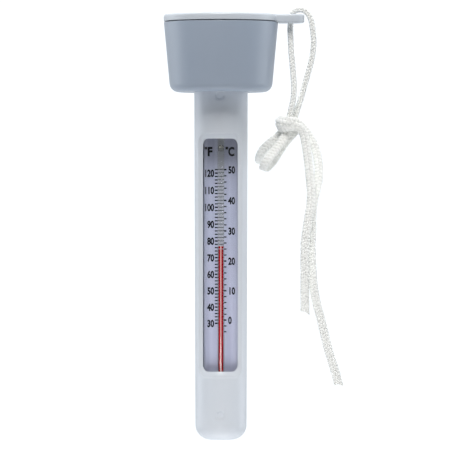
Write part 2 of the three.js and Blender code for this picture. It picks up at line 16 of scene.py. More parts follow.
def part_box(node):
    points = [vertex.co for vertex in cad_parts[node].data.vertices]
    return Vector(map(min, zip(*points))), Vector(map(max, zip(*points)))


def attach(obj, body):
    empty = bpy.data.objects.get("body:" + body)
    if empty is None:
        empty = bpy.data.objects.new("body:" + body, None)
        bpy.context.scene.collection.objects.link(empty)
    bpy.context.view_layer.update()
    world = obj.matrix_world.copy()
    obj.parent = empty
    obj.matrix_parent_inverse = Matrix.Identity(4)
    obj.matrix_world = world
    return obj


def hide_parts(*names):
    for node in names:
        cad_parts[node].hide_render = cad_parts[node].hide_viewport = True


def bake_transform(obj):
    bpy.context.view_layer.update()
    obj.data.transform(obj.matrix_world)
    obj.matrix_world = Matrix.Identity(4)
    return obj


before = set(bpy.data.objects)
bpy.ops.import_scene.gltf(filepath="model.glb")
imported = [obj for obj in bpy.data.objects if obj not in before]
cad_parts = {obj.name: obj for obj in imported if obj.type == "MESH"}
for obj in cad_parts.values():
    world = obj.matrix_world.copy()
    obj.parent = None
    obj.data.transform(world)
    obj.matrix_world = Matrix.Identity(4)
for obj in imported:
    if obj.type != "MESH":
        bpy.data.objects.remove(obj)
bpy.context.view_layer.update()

MM = 0.001
BACK = Vector((0, 1, 0))


def new_object(name, data):
    thing = bpy.data.objects.new(name, data)
    bpy.context.scene.collection.objects.link(thing)
    return thing


# -------- camera

CAMERA_TURN = math.radians(2.5)  # round the tube's axis, towards the tab
CAMERA_DISTANCE = 2.577
CAMERA_HEIGHT = -85.5 * MM  # level with the middle of the object, below the float
CAMERA_ASIDE = 2.5 * MM
CAMERA_LENS = 410


def add_camera():
    data = bpy.data.cameras.new("camera")
    data.lens = CAMERA_LENS
    camera = new_object("camera", data)
    turn = Matrix.Rotation(CAMERA_TURN, 3, "Z")
    camera.location = turn @ Vector((CAMERA_ASIDE, -CAMERA_DISTANCE, CAMERA_HEIGHT))
    camera.rotation_euler = (math.pi / 2, 0, CAMERA_TURN)
    bpy.context.scene.camera = camera


add_camera()


# -------- node materials

def linear(red, green, blue):
    """A colour given as 0 to 255 on a screen, as the linear colour of a shader."""
    def channel(value):
        value /= 255
        return value / 12.92 if value <= 0.04045 else ((value + 0.055) / 1.055) ** 2.4
    return (channel(red), channel(green), channel(blue), 1)


def set_sockets(node, **values):
    """Sets input values, with underscores for the spaces in socket names."""
    for socket, value in values.items():
        node.inputs[socket.replace("_", " ")].default_value = value


class Finish:
    """A node material with one Principled shader, and what is added to it."""

    def __init__(self, name, colour, roughness, **sockets):
        self.material = bpy.data.materials.new(name)
        self.material.use_nodes = True
        self.nodes = self.material.node_tree.nodes
        self.links = self.material.node_tree.links
        self.shader = self.nodes["Principled BSDF"]
        self.colour = linear(*colour)
        self.roughness = roughness
        set_sockets(self.shader, Base_Color=self.colour, Roughness=roughness, **sockets)
        self.place = self.nodes.new("ShaderNodeTexCoord").outputs["Object"]

    def stretched(self, scale):
        """Object coordinates, scaled on each axis."""
        mapping = self.nodes.new("ShaderNodeMapping")
        set_sockets(mapping, Scale=scale)
        self.links.new(self.place, mapping.inputs["Vector"])
        return mapping.outputs["Vector"]

    def noise(self, size, detail=3, place=None):
        """Noise with features of about that size, in metres."""
        node = self.nodes.new("ShaderNodeTexNoise")
        set_sockets(node, Scale=1 / size, Detail=detail)
        self.links.new(place or self.place, node.inputs["Vector"])
        return node.outputs["Fac"]

    def ranged(self, value, low, high, start=0.25, end=0.75):
        """The value's middle range spread from low to high."""
        node = self.nodes.new("ShaderNodeMapRange")
        set_sockets(node, From_Min=start, From_Max=end, To_Min=low, To_Max=high)
        self.links.new(value, node.inputs["Value"])
        return node.outputs["Result"]

    def stripe(self, half_width):
        """1 along the middle of the front and back, falling to 0 that far to either side: the mask
        of a painted highlight.
        """
        parts = self.nodes.new("ShaderNodeSeparateXYZ")
        self.links.new(self.place, parts.inputs["Vector"])
        off_middle = self.nodes.new("ShaderNodeMath")
        off_middle.operation = "ABSOLUTE"
        self.links.new(parts.outputs["X"], off_middle.inputs[0])
        return self.ranged(off_middle.outputs["Value"], 1, 0, start=0, end=half_width)

    def vary_colour(self, pattern, other):
        """Shifts the colour towards the other one where the pattern is strong."""
        mix = self.nodes.new("ShaderNodeMix")
        mix.data_type = "RGBA"
        set_sockets(mix, A=self.colour, B=linear(*other))
        self.links.new(self.ranged(pattern, 0, 1), mix.inputs["Factor"])
        self.links.new(mix.outputs["Result"], self.shader.inputs["Base Color"])

    def vary_roughness(self, pattern, by):
        varied = self.ranged(pattern, self.roughness - by, self.roughness + by)
        self.links.new(varied, self.shader.inputs["Roughness"])

    def bump(self, pattern, depth):
        """Relief of that depth, in metres."""
        node = self.nodes.new("ShaderNodeBump")
        set_sockets(node, Distance=depth)
        self.links.new(pattern, node.inputs["Height"])
        self.links.new(node.outputs["Normal"], self.shader.inputs["Normal"])

    def clear_to_lamps(self, tint):
        """Lets the lamps' light through glass that the eye sees as refracting."""
        shadow = self.nodes.new("ShaderNodeLightPath").outputs["Is Shadow Ray"]
        through = self.nodes.new("ShaderNodeBsdfTransparent")
        set_sockets(through, Color=linear(*tint))
        mix = self.nodes.new("ShaderNodeMixShader")
        self.links.new(shadow, mix.inputs["Fac"])
        self.links.new(self.shader.outputs["BSDF"], mix.inputs[1])
        self.links.new(through.outputs["BSDF"], mix.inputs[2])
        surface = self.nodes["Material Output"].inputs["Surface"]
        self.links.new(mix.outputs["Shader"], surface)


def moulded_plastic(name, colour, roughness, shade):
    """Glossy moulded plastic: faintly cloudy, and not quite even to the touch."""
    finish = Finish(name, colour, roughness, IOR=1.5)
    finish.vary_colour(finish.noise(40 * MM, detail=1), shade)
    finish.vary_roughness(finish.noise(12 * MM, detail=1), 0.006)
    finish.bump(finish.noise(1.2 * MM, detail=1), 0.002 * MM)
    return finish.material


def clear_material(name, colour, ior, grain, tint):
    """Clear plastic or glass, which tints the lamps' light a little."""
    finish = Finish(name, colour, 0.006, IOR=ior, Transmission_Weight=1.0)
    finish.vary_roughness(finish.noise(grain), 0.004)
    finish.clear_to_lamps(tint)
    return finish.material


def red_spirit():
    """A fine thread of red spirit with a painted highlight: paler down the middle, standing in for
    the glass's gleam.
    """
    finish = Finish("red_spirit", (196, 18, 26), 0.12, IOR=1.36)
    # painted highlight: a pale band down the middle of the red thread, for the stem's reflection
    finish.vary_colour(finish.stripe(0.45 * MM), (246, 196, 190))
    finish.vary_roughness(finish.noise(2 * MM), 0.02)
    return finish.material


def card_stock():
    """Printed card with a satin face and paper tooth. Its white is darkened to a lavender grey as
    painted shade, and its soft lengthwise streaks are painted reflections of the clear capsule.
    """
    # painted shade: the white card darkened and tinted lavender grey
    finish = Finish("card_stock", (184, 187, 203), 0.5)
    # painted reflection: lighter lengthwise streaks for the clear capsule's reflections
    painted_reflection_streaks = finish.noise(2.2 * MM, place=finish.stretched((1, 1, 0.02)))
    finish.vary_colour(painted_reflection_streaks, (206, 208, 221))
    finish.vary_roughness(finish.noise(2 * MM), 0.05)
    finish.bump(finish.noise(0.15 * MM, detail=5), 0.004 * MM)
    return finish.material


def printing_ink():
    finish = Finish("printing_ink", (8, 8, 10), 0.5, Specular_IOR_Level=0.3)
    finish.vary_colour(finish.noise(0.6 * MM), (16, 16, 20))
    finish.vary_roughness(finish.noise(0.5 * MM), 0.06)
    return finish.material


def rubber():
    finish = Finish("rubber", (52, 54, 58), 0.75)
    finish.vary_colour(finish.noise(3 * MM), (70, 72, 76))
    finish.vary_roughness(finish.noise(1.5 * MM), 0.1)
    finish.bump(finish.noise(0.2 * MM, detail=5), 0.02 * MM)
    return finish.material


def foam():
    """Open-cell foam: small pits all over."""
    finish = Finish("foam", (222, 218, 206), 0.95, Sheen_Weight=0.2)
    cells = finish.nodes.new("ShaderNodeTexVoronoi")
    set_sockets(cells, Scale=1 / (0.5 * MM))
    finish.links.new(finish.place, cells.inputs["Vector"])
    finish.vary_colour(cells.outputs["Distance"], (180, 174, 158))
    finish.vary_roughness(finish.noise(1 * MM), 0.04)
    finish.bump(cells.outputs["Distance"], 0.15 * MM)
    return finish.material


def steel():
    """Bright steel with fine brushing round the axis."""
    finish = Finish("steel", (190, 192, 196), 0.34, Metallic=1.0)
    brushing = finish.noise(0.3 * MM, detail=4, place=finish.stretched((0.1, 0.1, 2)))
    finish.vary_colour(finish.noise(4 * MM), (164, 166, 170))
    finish.vary_roughness(brushing, 0.1)
    finish.bump(brushing, 0.008 * MM)
    return finish.material


def cord_yarn():
    """White multifilament yarn: a soft sheen, fine fibres, and light that spreads inside it."""
    finish = Finish(
        "cord_yarn", (254, 254, 250), 0.75, Sheen_Weight=0.3, Sheen_Roughness=0.4,
        Subsurface_Weight=0.6, Subsurface_Radius=(1, 1, 1), Subsurface_Scale=1.5 * MM,
    )
    finish.vary_colour(finish.noise(0.9 * MM, detail=4), (249, 250, 245))
    finish.vary_roughness(finish.noise(0.5 * MM), 0.08)
    fibres = finish.noise(0.14 * MM, place=finish.stretched((1, 1, 0.5)))
    finish.bump(fibres, 0.015 * MM)
    return finish.material


LID_PLASTIC = moulded_plastic("lid_plastic", (212, 218, 226), 0.32, (209, 216, 225))
CUP_PLASTIC = moulded_plastic("cup_plastic", (168, 179, 195), 0.3, (164, 176, 193))
TUBE_PLASTIC = moulded_plastic("tube_plastic", (220, 225, 233), 0.28, (217, 223, 232))
CLEAR_PLASTIC = clear_material(
    "clear_plastic", (246, 248, 252), 1.49, 6 * MM, (238, 240, 248)
)
GLASS = clear_material("stem_glass", (250, 249, 240), 1.5, 5 * MM, (246, 246, 240))
SPIRIT = red_spirit()
CARD = card_stock()
INK = printing_ink()
RUBBER = rubber()
FOAM = foam()
STEEL = steel()
YARN = cord_yarn()


# -------- mesh work

SHARP = math.radians(40)  # edges that turn more than this stay crisp
FILLET_STEPS = 6


def shade(mesh):
    """Smooth shading, with its sharp edges kept."""
    mesh.polygons.foreach_set("use_smooth", [True] * len(mesh.polygons))
    mesh.set_sharp_from_angle(angle=SHARP)


def evaluated_mesh(thing):
    bpy.context.view_layer.update()
    graph = bpy.context.evaluated_depsgraph_get()
    return bpy.data.meshes.new_from_object(thing.evaluated_get(graph))


def add_mesh(name, points, faces, material):
    """A closed mesh with outward faces and smooth shading, not yet on a body."""
    mesh = bpy.data.meshes.new(name)
    mesh.from_pydata([tuple(point) for point in points], [], faces)
    work = bmesh.new()
    work.from_mesh(mesh)
    bmesh.ops.recalc_face_normals(work, faces=work.faces)
    work.to_mesh(mesh)
    work.free()
    shade(mesh)
    mesh.materials.append(material)
    piece = new_object(name, mesh)
    return piece


def spread(start, end, count):
    """Both ends, and the even steps that part them into count."""
    return [start + (end - start) * k / count for k in range(count + 1)]


def even_angles(count):
    return spread(0, 2 * math.pi, count)[:-1]


def rectangle(left, right, bottom, top):
    return [(left, bottom), (right, bottom), (right, top), (left, top)]


def rounded(corners):
    """A closed outline through (across, height, fillet) corners, each rounded to its fillet."""
    points = []
    for i, (across, height, fillet) in enumerate(corners):
        here = Vector((across, height))
        if not fillet:
            points.append(here)
            continue
        back = (Vector(corners[i - 1][:2]) - here).normalized()
        ahead = (Vector(corners[(i + 1) % len(corners)][:2]) - here).normalized()
        half = back.angle(ahead) / 2
        centre = here + (back + ahead).normalized() * fillet / math.sin(half)
        start = here + back * fillet / math.tan(half) - centre
        side = 1 if back.cross(ahead) < 0 else -1
        for turned_by in spread(0, side * (math.pi - 2 * half), FILLET_STEPS):
            points.append(centre + Matrix.Rotation(turned_by, 2) @ start)
    return points


def revolved(outline, angles, skipped=lambda row, column: False):
    """Points, faces and the table of point numbers of a closed outline turned about Z.

    Angles run from -Y towards +X. A point on the axis is one point in every column.
    """
    points, table, faces = [], [], []
    for radius, height in outline:
        if radius < 1e-9:
            table.append([len(points)] * len(angles))
            points.append((0, 0, height))
            continue
        table.append(list(range(len(points), len(points) + len(angles))))
        points += [(radius * math.sin(a), -radius * math.cos(a), height) for a in angles]
    for row, lower in enumerate(table):
        upper = table[(row + 1) % len(table)]
        for column in range(len(angles)):
            after = (column + 1) % len(angles)
            corners = (lower[column], lower[after], upper[after], upper[column])
            face = tuple(dict.fromkeys(corners))
            if len(face) > 2 and not skipped(row, column):
                faces.append(face)
    return points, faces, table


def loop_pairs(loop):
    """Each item of a closed loop with the next."""
    return zip(loop, loop[1:] + loop[:1])


def bridge(faces, first, second):
    """Adds the faces between two closed loops of as many points."""
    for (a, b), (c, d) in zip(loop_pairs(first), loop_pairs(second)):
        faces.append((a, b, d, c))


def fan(faces, loop, middle):
    """Adds the faces that close a loop to its middle point."""
    faces += [(a, b, middle) for a, b in loop_pairs(loop)]


def numbered_rings(rings, count):
    """The point numbers of rings of count points, which follow each other."""
    return [list(range(first, first + count)) for first in range(0, rings * count, count)]


def moved(points, place):
    return [(x + place[0], y + place[1], z) for x, y, z in points]


def turned_mesh(name, outline, material, slot=None, sides=96, at=(0, 0)):
    """A closed outline of (radius, height) points turned about the upright through at."""
    points, faces, _ = revolved(outline, even_angles(sides))
    return add_mesh(name, moved(points, at), faces, material)


def stand_for(piece, *nodes):
    """Fixes the piece to the object in the place of those CAD nodes."""
    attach(piece, "root")
    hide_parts(*nodes)


def turned(name, node, corners, *looks, **settings):
    """A turned piece with rounded corners that stands for its CAD node."""
    stand_for(turned_mesh(name, rounded(corners), *looks, **settings), node)


def groove(radius, depth, seal):
    """The corners of a groove for that seal, from below."""
    low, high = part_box(seal)
    foot = radius - depth
    return [(radius, low.z, 0), (foot, low.z, 0), (foot, high.z, 0), (radius, high.z, 0)]


def cut(piece, tool, operation):
    """Joins or cuts the piece with the tool, which is used up."""
    modifier = piece.modifiers.new("cut", "BOOLEAN")
    modifier.operation = operation
    modifier.object = tool
    modifier.solver = "EXACT"
    mesh = evaluated_mesh(piece)
    piece.modifiers.clear()
    piece.data = mesh
    shade(mesh)
    bpy.data.objects.remove(tool)


# -------- cords

CORD_DIAMETER = 3 * MM
STITCH = 1.75 * MM  # length of one stitch of the braid
COLUMNS = 4  # columns of stitches round the cord
RELIEF = 0.8 * MM  # of a stitch above the valleys beside it
PLUMPNESS = 0.2 * MM  # of a stitch past the cord's plain radius
STITCH_HALF_WIDTH = 0.58  # in columns
STITCH_HALF_LENGTH = 0.6  # in stitches
BRAID_SIDES = 32
BRAID_STEP = STITCH / 8
ROUTE_STEPS = 24  # of the smooth curve, from one point of a route to the next
SLACK_WIDTH = 1.5  # the slack part is wider across the view and thinner from front to back
SLACK_DEPTH = 0.85
SLACKENING = 8 * MM  # length over which the cord goes slack
FACING_EASE = 0.06  # how fast slack cord turns its face to the view
CUT_SLANT = 0.7  # of the half width, at the cut end

STRAND_FRONT = [
    (34.9, 0, 17.2), (34.7, 0, 12.5), (34.9, -0.2, 7), (35.2, -0.5, 1.5), (35.7, -0.8, -4),
    (36.2, -1.1, -10), (36.6, -1.4, -16), (36.2, -1.6, -22), (35.1, -1.6, -27.5),
    (34.3, -1.4, -32), (33.7, -1.6, -36),
]
STRAND_BACK = [
    (34.9, 0, 17.8), (35.3, 0, 20.1), (36.9, 0, 22.1), (39.4, 0, 22.8), (41.8, 0.1, 22.2),
    (43.7, 0.2, 20.5), (44.9, 0.3, 18.2), (45.6, 0.4, 15.2), (46.1, 0.5, 11.5),
    (46.4, 0.6, 7.5), (46.2, 0.8, 3.2), (45.4, 1.1, -1.8), (44.2, 1.4, -6.8),
    (42.7, 1.6, -12), (41.2, 1.8, -17.5), (39.8, 1.9, -22.3), (38.1, 1.9, -27.2),
    (36.3, 1.7, -31.3), (34.6, 1.7, -34.6),
]
BOW_FRONT = [
    (32.8, -2.4, -39.3), (31, -3.9, -42.6), (28.5, -5.9, -46), (25.9, -8, -49.5),
    (23.6, -9.5, -52.6), (21.9, -8.6, -55.3), (21.6, -5.6, -56.8), (23.2, -2.6, -56.2),
    (26, -1.2, -53.2), (28.8, -0.8, -48.8), (31.6, -0.7, -44.5), (34.3, -0.5, -41.2),
]
BOW_BACK = [
    (32.2, 1.9, -37.4), (29, 1.8, -40.2), (25.4, 1.5, -43.2), (21.9, 1.4, -46.3),
    (19.7, 2.2, -49.6), (18.9, 4.6, -52.3), (19.9, 7.8, -53.2), (22.3, 9.6, -51),
    (24.8, 9.4, -47.6), (27.3, 8, -44.4), (29.4, 6.9, -41.3),
]
# round the back of the knot, its left side and across its front
WRAP_FRONT = [
    (36.6, 0.6, -38.5), (37.2, 3, -36.3), (35.4, 5.3, -35.1), (32.3, 5.7, -34.8),
    (29.8, 3.7, -35.2), (28.9, 0.3, -35.7), (29.8, -3.2, -36.1), (32.6, -5, -36.2),
    (36.2, -4.9, -35.8),
]
WRAP_BACK = [
    (31, 7.4, -38.2), (31.4, 7.4, -34.9), (30.4, 5.5, -32.4), (29.3, 2.2, -31.9),
    (29.4, -1.4, -32.2), (31, -4.3, -32.7), (34, -5.4, -33), (37.4, -3.7, -33.4),
]
TAIL_SHORT = [
    (39.4, -4, -36.4), (41.4, -3, -39.4), (42.3, -2.4, -43.5), (43.2, -2.2, -49),
    (44, -2.1, -55.5), (44.7, -2, -62.5), (45.2, -2, -69), (44.9, -2, -75), (44, -2.1, -81),
    (43, -2.2, -87), (42.2, -2.2, -93.5), (42, -2, -101), (42, -1.6, -110),
    (42, -1.2, -119), (42.1, -0.9, -128.5),
]
TAIL_LONG = [
    (40.4, -0.6, -35.8), (43.3, 0.8, -39.4), (45.5, 1.6, -43), (47.2, 1.9, -46.8),
    (48.3, 1.9, -51.5), (48.9, 1.9, -57), (48.6, 1.8, -62.5), (47.6, 1.8, -67.5),
    (46.5, 1.8, -72.5), (45.7, 1.7, -77.5), (45.5, 1.6, -83), (45.5, 1.5, -88),
    (45.2, 1.4, -93), (45.3, 1.2, -98.5), (45.5, 1.1, -105), (46, 0.9, -112.5),
    (46.9, 0.8, -119.5), (48.3, 0.6, -126), (50, 0.4, -132), (51.4, 0.3, -138),
    (53.2, 0.1, -145.5), (55.3, 0, -152.5), (57.2, -0.2, -158.5), (58.9, -0.3, -164.8),
]


def smooth_line(points, step):
    """Evenly spaced points in metres on a smooth curve through points in millimetres."""
    route = np.array(points) * MM
    ends = np.vstack([2 * route[0] - route[1], route, 2 * route[-1] - route[-2]])
    share = np.linspace(0, 1, ROUTE_STEPS, endpoint=False)[:, None]
    curve = []
    for a, b, c, d in zip(ends, ends[1:], ends[2:], ends[3:]):
        curve.append(0.5 * (
            2 * b + (c - a) * share + (2 * a - 5 * b + 4 * c - d) * share**2
            + (3 * b - a - 3 * c + d) * share**3
        ))
    fine = np.vstack([*curve, route[-1:]])
    along = np.concatenate([[0], np.cumsum(np.linalg.norm(np.diff(fine, axis=0), axis=1))])
    even = np.linspace(0, along[-1], int(along[-1] / step))
    return np.column_stack([np.interp(even, along, fine[:, axis]) for axis in range(3)])


def facing_frames(line):
    """At each point: the line's direction, the one across it and the one through it.

    The one across turns slowly to lie in the view's plane, so that flat cord shows its face.
    """
    ahead = np.gradient(line, axis=0)
    ahead /= np.linalg.norm(ahead, axis=1)[:, None]
    across = np.cross(ahead[0], BACK)
    wide = []
    for direction in ahead:
        level = np.cross(direction, BACK)
        across = across - direction * across.dot(direction)
        across = across + level * math.copysign(FACING_EASE, across.dot(level))
        across /= np.linalg.norm(across)
        wide.append(across)
    return ahead, np.array(wide), np.cross(ahead, wide)


def stitch_height(around, along):
    """Relief of the braid, 0 to 1: columns of plump stitches that lean left and right by turns."""
    column = np.floor(around)
    across = around - column - 0.5
    odd = column % 2
    place = along + 0.5 * odd + 0.5 * across * (1 - 2 * odd)
    within = place - np.round(place)
    outside = (across / STITCH_HALF_WIDTH) ** 2 + (within / STITCH_HALF_LENGTH) ** 2
    return np.sqrt(np.clip(1 - outside, 0, 1))


def braided_cord(name, route, node_names, loose_from):
    """A cord of braided strands along the route. It lies slack and flatter after loose_from."""
    line = smooth_line(route, BRAID_STEP)
    ahead, wide, deep = facing_frames(line)
    distance = np.arange(len(line)) * BRAID_STEP
    angles = np.array(even_angles(BRAID_SIDES))
    around = np.tile(angles / (2 * math.pi) * COLUMNS, (len(line), 1))
    along = np.tile(distance[:, None] / STITCH, (1, BRAID_SIDES))
    crest = CORD_DIAMETER / 2 + PLUMPNESS
    radius = crest + RELIEF * (stitch_height(around, along) - 1)
    slack = np.clip((distance - loose_from) / SLACKENING, 0, 1)[:, None]
    reach_wide = radius * np.cos(angles) * (1 + (SLACK_WIDTH - 1) * slack)
    reach_deep = radius * np.sin(angles) * (1 + (SLACK_DEPTH - 1) * slack)
    rings = (
        line[:, None, :] + reach_wide[:, :, None] * wide[:, None, :]
        + reach_deep[:, :, None] * deep[:, None, :]
    )
    rings[-1] += ahead[-1] * CUT_SLANT * reach_wide[-1][:, None]
    points = [*rings.reshape(-1, 3), line[0], rings[-1].mean(axis=0)]
    faces = []
    numbers = numbered_rings(len(line), BRAID_SIDES)
    for ring, following in zip(numbers, numbers[1:]):
        bridge(faces, ring, following)
    fan(faces, numbers[0][::-1], len(points) - 2)
    fan(faces, numbers[-1], len(points) - 1)
    cord = add_mesh(name, points, faces, YARN)
    stand_for(cord, *node_names)


braided_cord(
    "cord_front", [*STRAND_FRONT, *BOW_FRONT, *WRAP_FRONT, *TAIL_SHORT],
    ["cord_strand_front", "cord_bow_front", "cord_tail_short", "cord_knot"],
    loose_from=46 * MM,
)
braided_cord(
    "cord_back", [*STRAND_BACK, *BOW_BACK, *WRAP_BACK, *TAIL_LONG],
    ["cord_strand_back", "cord_bow_back", "cord_tail_long"],
    loose_from=60 * MM,
)


# -------- lid and tab

LID_LOW, LID_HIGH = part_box("float_lid")
CUP_LOW, CUP_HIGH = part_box("float_cup")
LID_RADIUS = -LID_LOW.x
LID_TOP = LID_HIGH.z
RIM_HEIGHT = 3.4 * MM
SKIRT_RADIUS = 25.7 * MM
SKIRT_INNER = 22.9 * MM
LID_SKIN = 2 * MM
TAB_BOTTOM = LID_TOP - 4.4 * MM
TAB_HALF_WIDTH = 6.5 * MM
TAB_EDGE = 1 * MM  # rounding of its outer edges
TAB_HOLE = (34.9 * MM, 3 * MM)  # distance from the axis, and radius
TAB_ROOT = 23 * MM  # where the tab starts, inside the rim
TAB_POINTS = 96
TAB_BEVEL = 0.6 * MM  # rounding of the hole's rims
CUP_CLEARANCE = 0.6 * MM  # between the tab's root and the cup
SEAL_GROOVE = 1.8 * MM
ROUND = 160  # sides of the lid and the cup


def tab_outline(inset):
    """Points round the tab at even angles about its hole, that far inside its edge."""
    half = TAB_HALF_WIDTH - inset
    hole_x = TAB_HOLE[0]
    end_centre = LID_HIGH.x - TAB_HALF_WIDTH
    offset = hole_x - end_centre
    points = []
    for angle in even_angles(TAB_POINTS):
        along, aside = math.cos(angle), math.sin(angle)
        # to the round end
        reach = -offset * along + math.sqrt(half**2 - (offset * aside) ** 2)
        if hole_x + reach * along < end_centre:
            reach = min(half / max(abs(aside), 1e-6), (hole_x - TAB_ROOT) / max(-along, 1e-6))
        points.append((hole_x + reach * along, reach * aside))
    return points


def hole_outline(radius):
    angles = even_angles(TAB_POINTS)
    return [(TAB_HOLE[0] + radius * math.cos(a), radius * math.sin(a)) for a in angles]


def tab():
    """The tab as loops from its hole over its top, round its edge and back underneath."""
    quarter = spread(0, math.pi / 2, FILLET_STEPS)
    turns = [(1 - math.cos(a), 1 - math.sin(a)) for a in quarter]
    hole, bevel, edge = TAB_HOLE[1], TAB_BEVEL, TAB_EDGE
    loops = [(hole_outline(hole + bevel * run), LID_TOP - bevel * rise) for run, rise in turns]
    loops += [(tab_outline(edge * rise), LID_TOP - edge * run) for run, rise in turns]
    loops += [(tab_outline(edge * run), TAB_BOTTOM + edge * rise) for run, rise in turns]
    loops += [
        (hole_outline(hole + bevel * rise), TAB_BOTTOM + bevel * run) for run, rise in turns
    ]
    points = [(x, y, z) for outline, z in loops for x, y in outline]
    faces = []
    for level, above in loop_pairs(numbered_rings(len(loops), TAB_POINTS)):
        bridge(faces, level, above)
    return add_mesh("tab", points, faces, LID_PLASTIC)


def lid():
    underside = LID_TOP - RIM_HEIGHT
    disc = rounded([
        (0, LID_TOP - LID_SKIN, 0),
        (SKIRT_INNER, LID_TOP - LID_SKIN, 0.5 * MM),
        (SKIRT_INNER, LID_LOW.z, 0.4 * MM),
        (SKIRT_RADIUS, LID_LOW.z, 0.8 * MM),
        *groove(SKIRT_RADIUS, SEAL_GROOVE, "lid_seal"),
        (SKIRT_RADIUS, underside, 0.3 * MM),
        (LID_RADIUS, underside, 0.2 * MM),
        (LID_RADIUS, LID_TOP, 1.2 * MM),
        (0, LID_TOP, 0),
    ])
    piece = turned_mesh("lid", disc, LID_PLASTIC, "lid_plastic", ROUND)
    bar = tab()
    reach = LID_RADIUS + CUP_CLEARANCE
    space = rectangle(0, reach, LID_LOW.z, underside)
    cut(bar, turned_mesh("cup_space", space, LID_PLASTIC, sides=ROUND), "DIFFERENCE")
    cut(piece, bar, "UNION")
    stand_for(piece, "float_lid")


lid()


# -------- float cup

CUP_WALL = 1.8 * MM
CUP_FLOOR = 2 * MM
CUP_CORNER = 4.6 * MM
CUP_HOLE = 13.7 * MM
CUP_TAPER = 0.092  # how much the radius grows with height


def cup():
    foot_radius = CUP_HIGH.x - CUP_TAPER * (CUP_HIGH.z - CUP_LOW.z)
    inner_foot = foot_radius + CUP_TAPER * CUP_FLOOR - CUP_WALL
    floor = CUP_LOW.z + CUP_FLOOR
    turned("float_shell", "float_cup", [
        (CUP_HOLE, CUP_LOW.z, 0.3 * MM),
        (foot_radius, CUP_LOW.z, CUP_CORNER),
        (CUP_HIGH.x, CUP_HIGH.z, 0.25 * MM),
        (CUP_HIGH.x - CUP_WALL, CUP_HIGH.z, 0.5 * MM),
        (inner_foot, floor, CUP_CORNER - CUP_WALL),
        (CUP_HOLE, floor, 0.3 * MM),
    ], CUP_PLASTIC, "float_plastic", sides=ROUND)


cup()


# -------- tube housing

TUBE_LOW, TUBE_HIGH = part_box("tube_housing")
FLANGE_RADIUS = TUBE_HIGH.x
FLANGE_BOTTOM = -14.9 * MM
FLANGE_TOP = -12.9 * MM
TUBE_TOP_RADIUS = 13.4 * MM
TUBE_END_RADIUS = 12.8 * MM
TUBE_BORE = 11.3 * MM
TUBE_CORNER = 7.5 * MM
TUBE_FLOOR = 2.2 * MM
WINDOW_RADIUS = 13.1 * MM  # of the tube's outside at the window's middle
# half angle, top, bottom and corner of the window in the bore and in the tube's skin
WINDOW_IN_BORE = (math.asin(8.6 * MM / TUBE_BORE), -42 * MM, -158 * MM, 4 * MM)
WINDOW_IN_SKIN = (math.asin(10.75 * MM / WINDOW_RADIUS), -39.6 * MM, -161 * MM, 5.2 * MM)
WINDOW_MARGIN = 1.2 * MM  # of fine mesh beyond the window
WINDOW_EDGE = 0.4 * MM  # rounding of the window's outer edge
# the window's outer edge, bevel and inner edge: share of the way from bore to skin, growth
# in edge roundings, and depth as a share of the wall
WINDOW_STAGES = (
    (1, 1, 0), (1, 0.4, 0.06), (1, 0.08, 0.2), (0.86, 0, 0.26), (0.5, 0, 0.5),
    (0.12, 0, 0.88), (0.04, 0.02, 0.95), (0, 0.3, 1),
)
MARK_RADIUS = 2.2 * MM
MARK_DEPTH = 0.35 * MM
MARK_HEIGHTS = (-180.1 * MM, -20.4 * MM)
MARK_FRAME = 3.1 * MM  # half side of the square patch round a mark
MARK_STEPS = 8
CORNER_STEPS = 8  # of the mesh at a corner of the window
ACROSS_STEPS = 6  # between a mark and a corner
SIDE_STEPS = 24  # along the window's straight sides
BACK_STEPS = 56
END_STEPS = 15  # of the rounded end
INNER_END_STEPS = 10
NECK_FOOT = CUP_LOW.z + 1 * MM  # start of the neck's outside, in the cup's floor
BORE_FOOT = CUP_LOW.z - 8 * MM  # end of the plain bore, above the window
# a mark's soft edge and flat middle: distance inside its rim, and share of its depth
MARK_STAGES = ((0, 0), (0.12 * MM, 0.25), (0.2 * MM, 0.8), (0.4 * MM, 1), (1.1 * MM, 1))


def window_outline(share):
    """Half angle, top, bottom and corner of the window that share of the way to the skin."""
    return [a + share * (b - a) for a, b in zip(WINDOW_IN_BORE, WINDOW_IN_SKIN)]


def tube_radius(height):
    """Outside radius, which shrinks evenly from the cup down to the end's corner."""
    top, bottom = CUP_LOW.z, TUBE_LOW.z + TUBE_CORNER
    share = min(max((top - height) / (top - bottom), 0), 1)
    return TUBE_TOP_RADIUS + share * (TUBE_END_RADIUS - TUBE_TOP_RADIUS)


def tube_columns():
    """Angles of the front, fine over the marks and the window's corners, and of the back."""
    mark = MARK_FRAME / WINDOW_RADIUS
    half, _, _, corner = window_outline(1)
    straight = half - corner / WINDOW_RADIUS
    edge = half + WINDOW_MARGIN / WINDOW_RADIUS
    right = spread(mark, straight, ACROSS_STEPS)[1:] + spread(straight, edge, CORNER_STEPS)[1:]
    left = [-angle for angle in reversed(right)]
    back = spread(edge, 2 * math.pi - edge, BACK_STEPS)[1:-1]
    return left + spread(-mark, mark, MARK_STEPS) + right, back


def mark_rows(height):
    return spread(height - MARK_FRAME, height + MARK_FRAME, MARK_STEPS)


def window_rows():
    """Heights beside the window: fine at its corners, from below it to above it."""
    _, top, bottom, corner = window_outline(1)
    low, high = bottom - WINDOW_MARGIN, top + WINDOW_MARGIN
    lower, upper = bottom + corner, top - corner
    sides = spread(lower, upper, SIDE_STEPS)[1:-1]
    return spread(low, lower, CORNER_STEPS) + sides + spread(upper, high, CORNER_STEPS)


def row_key(height):
    return round(height, 6)


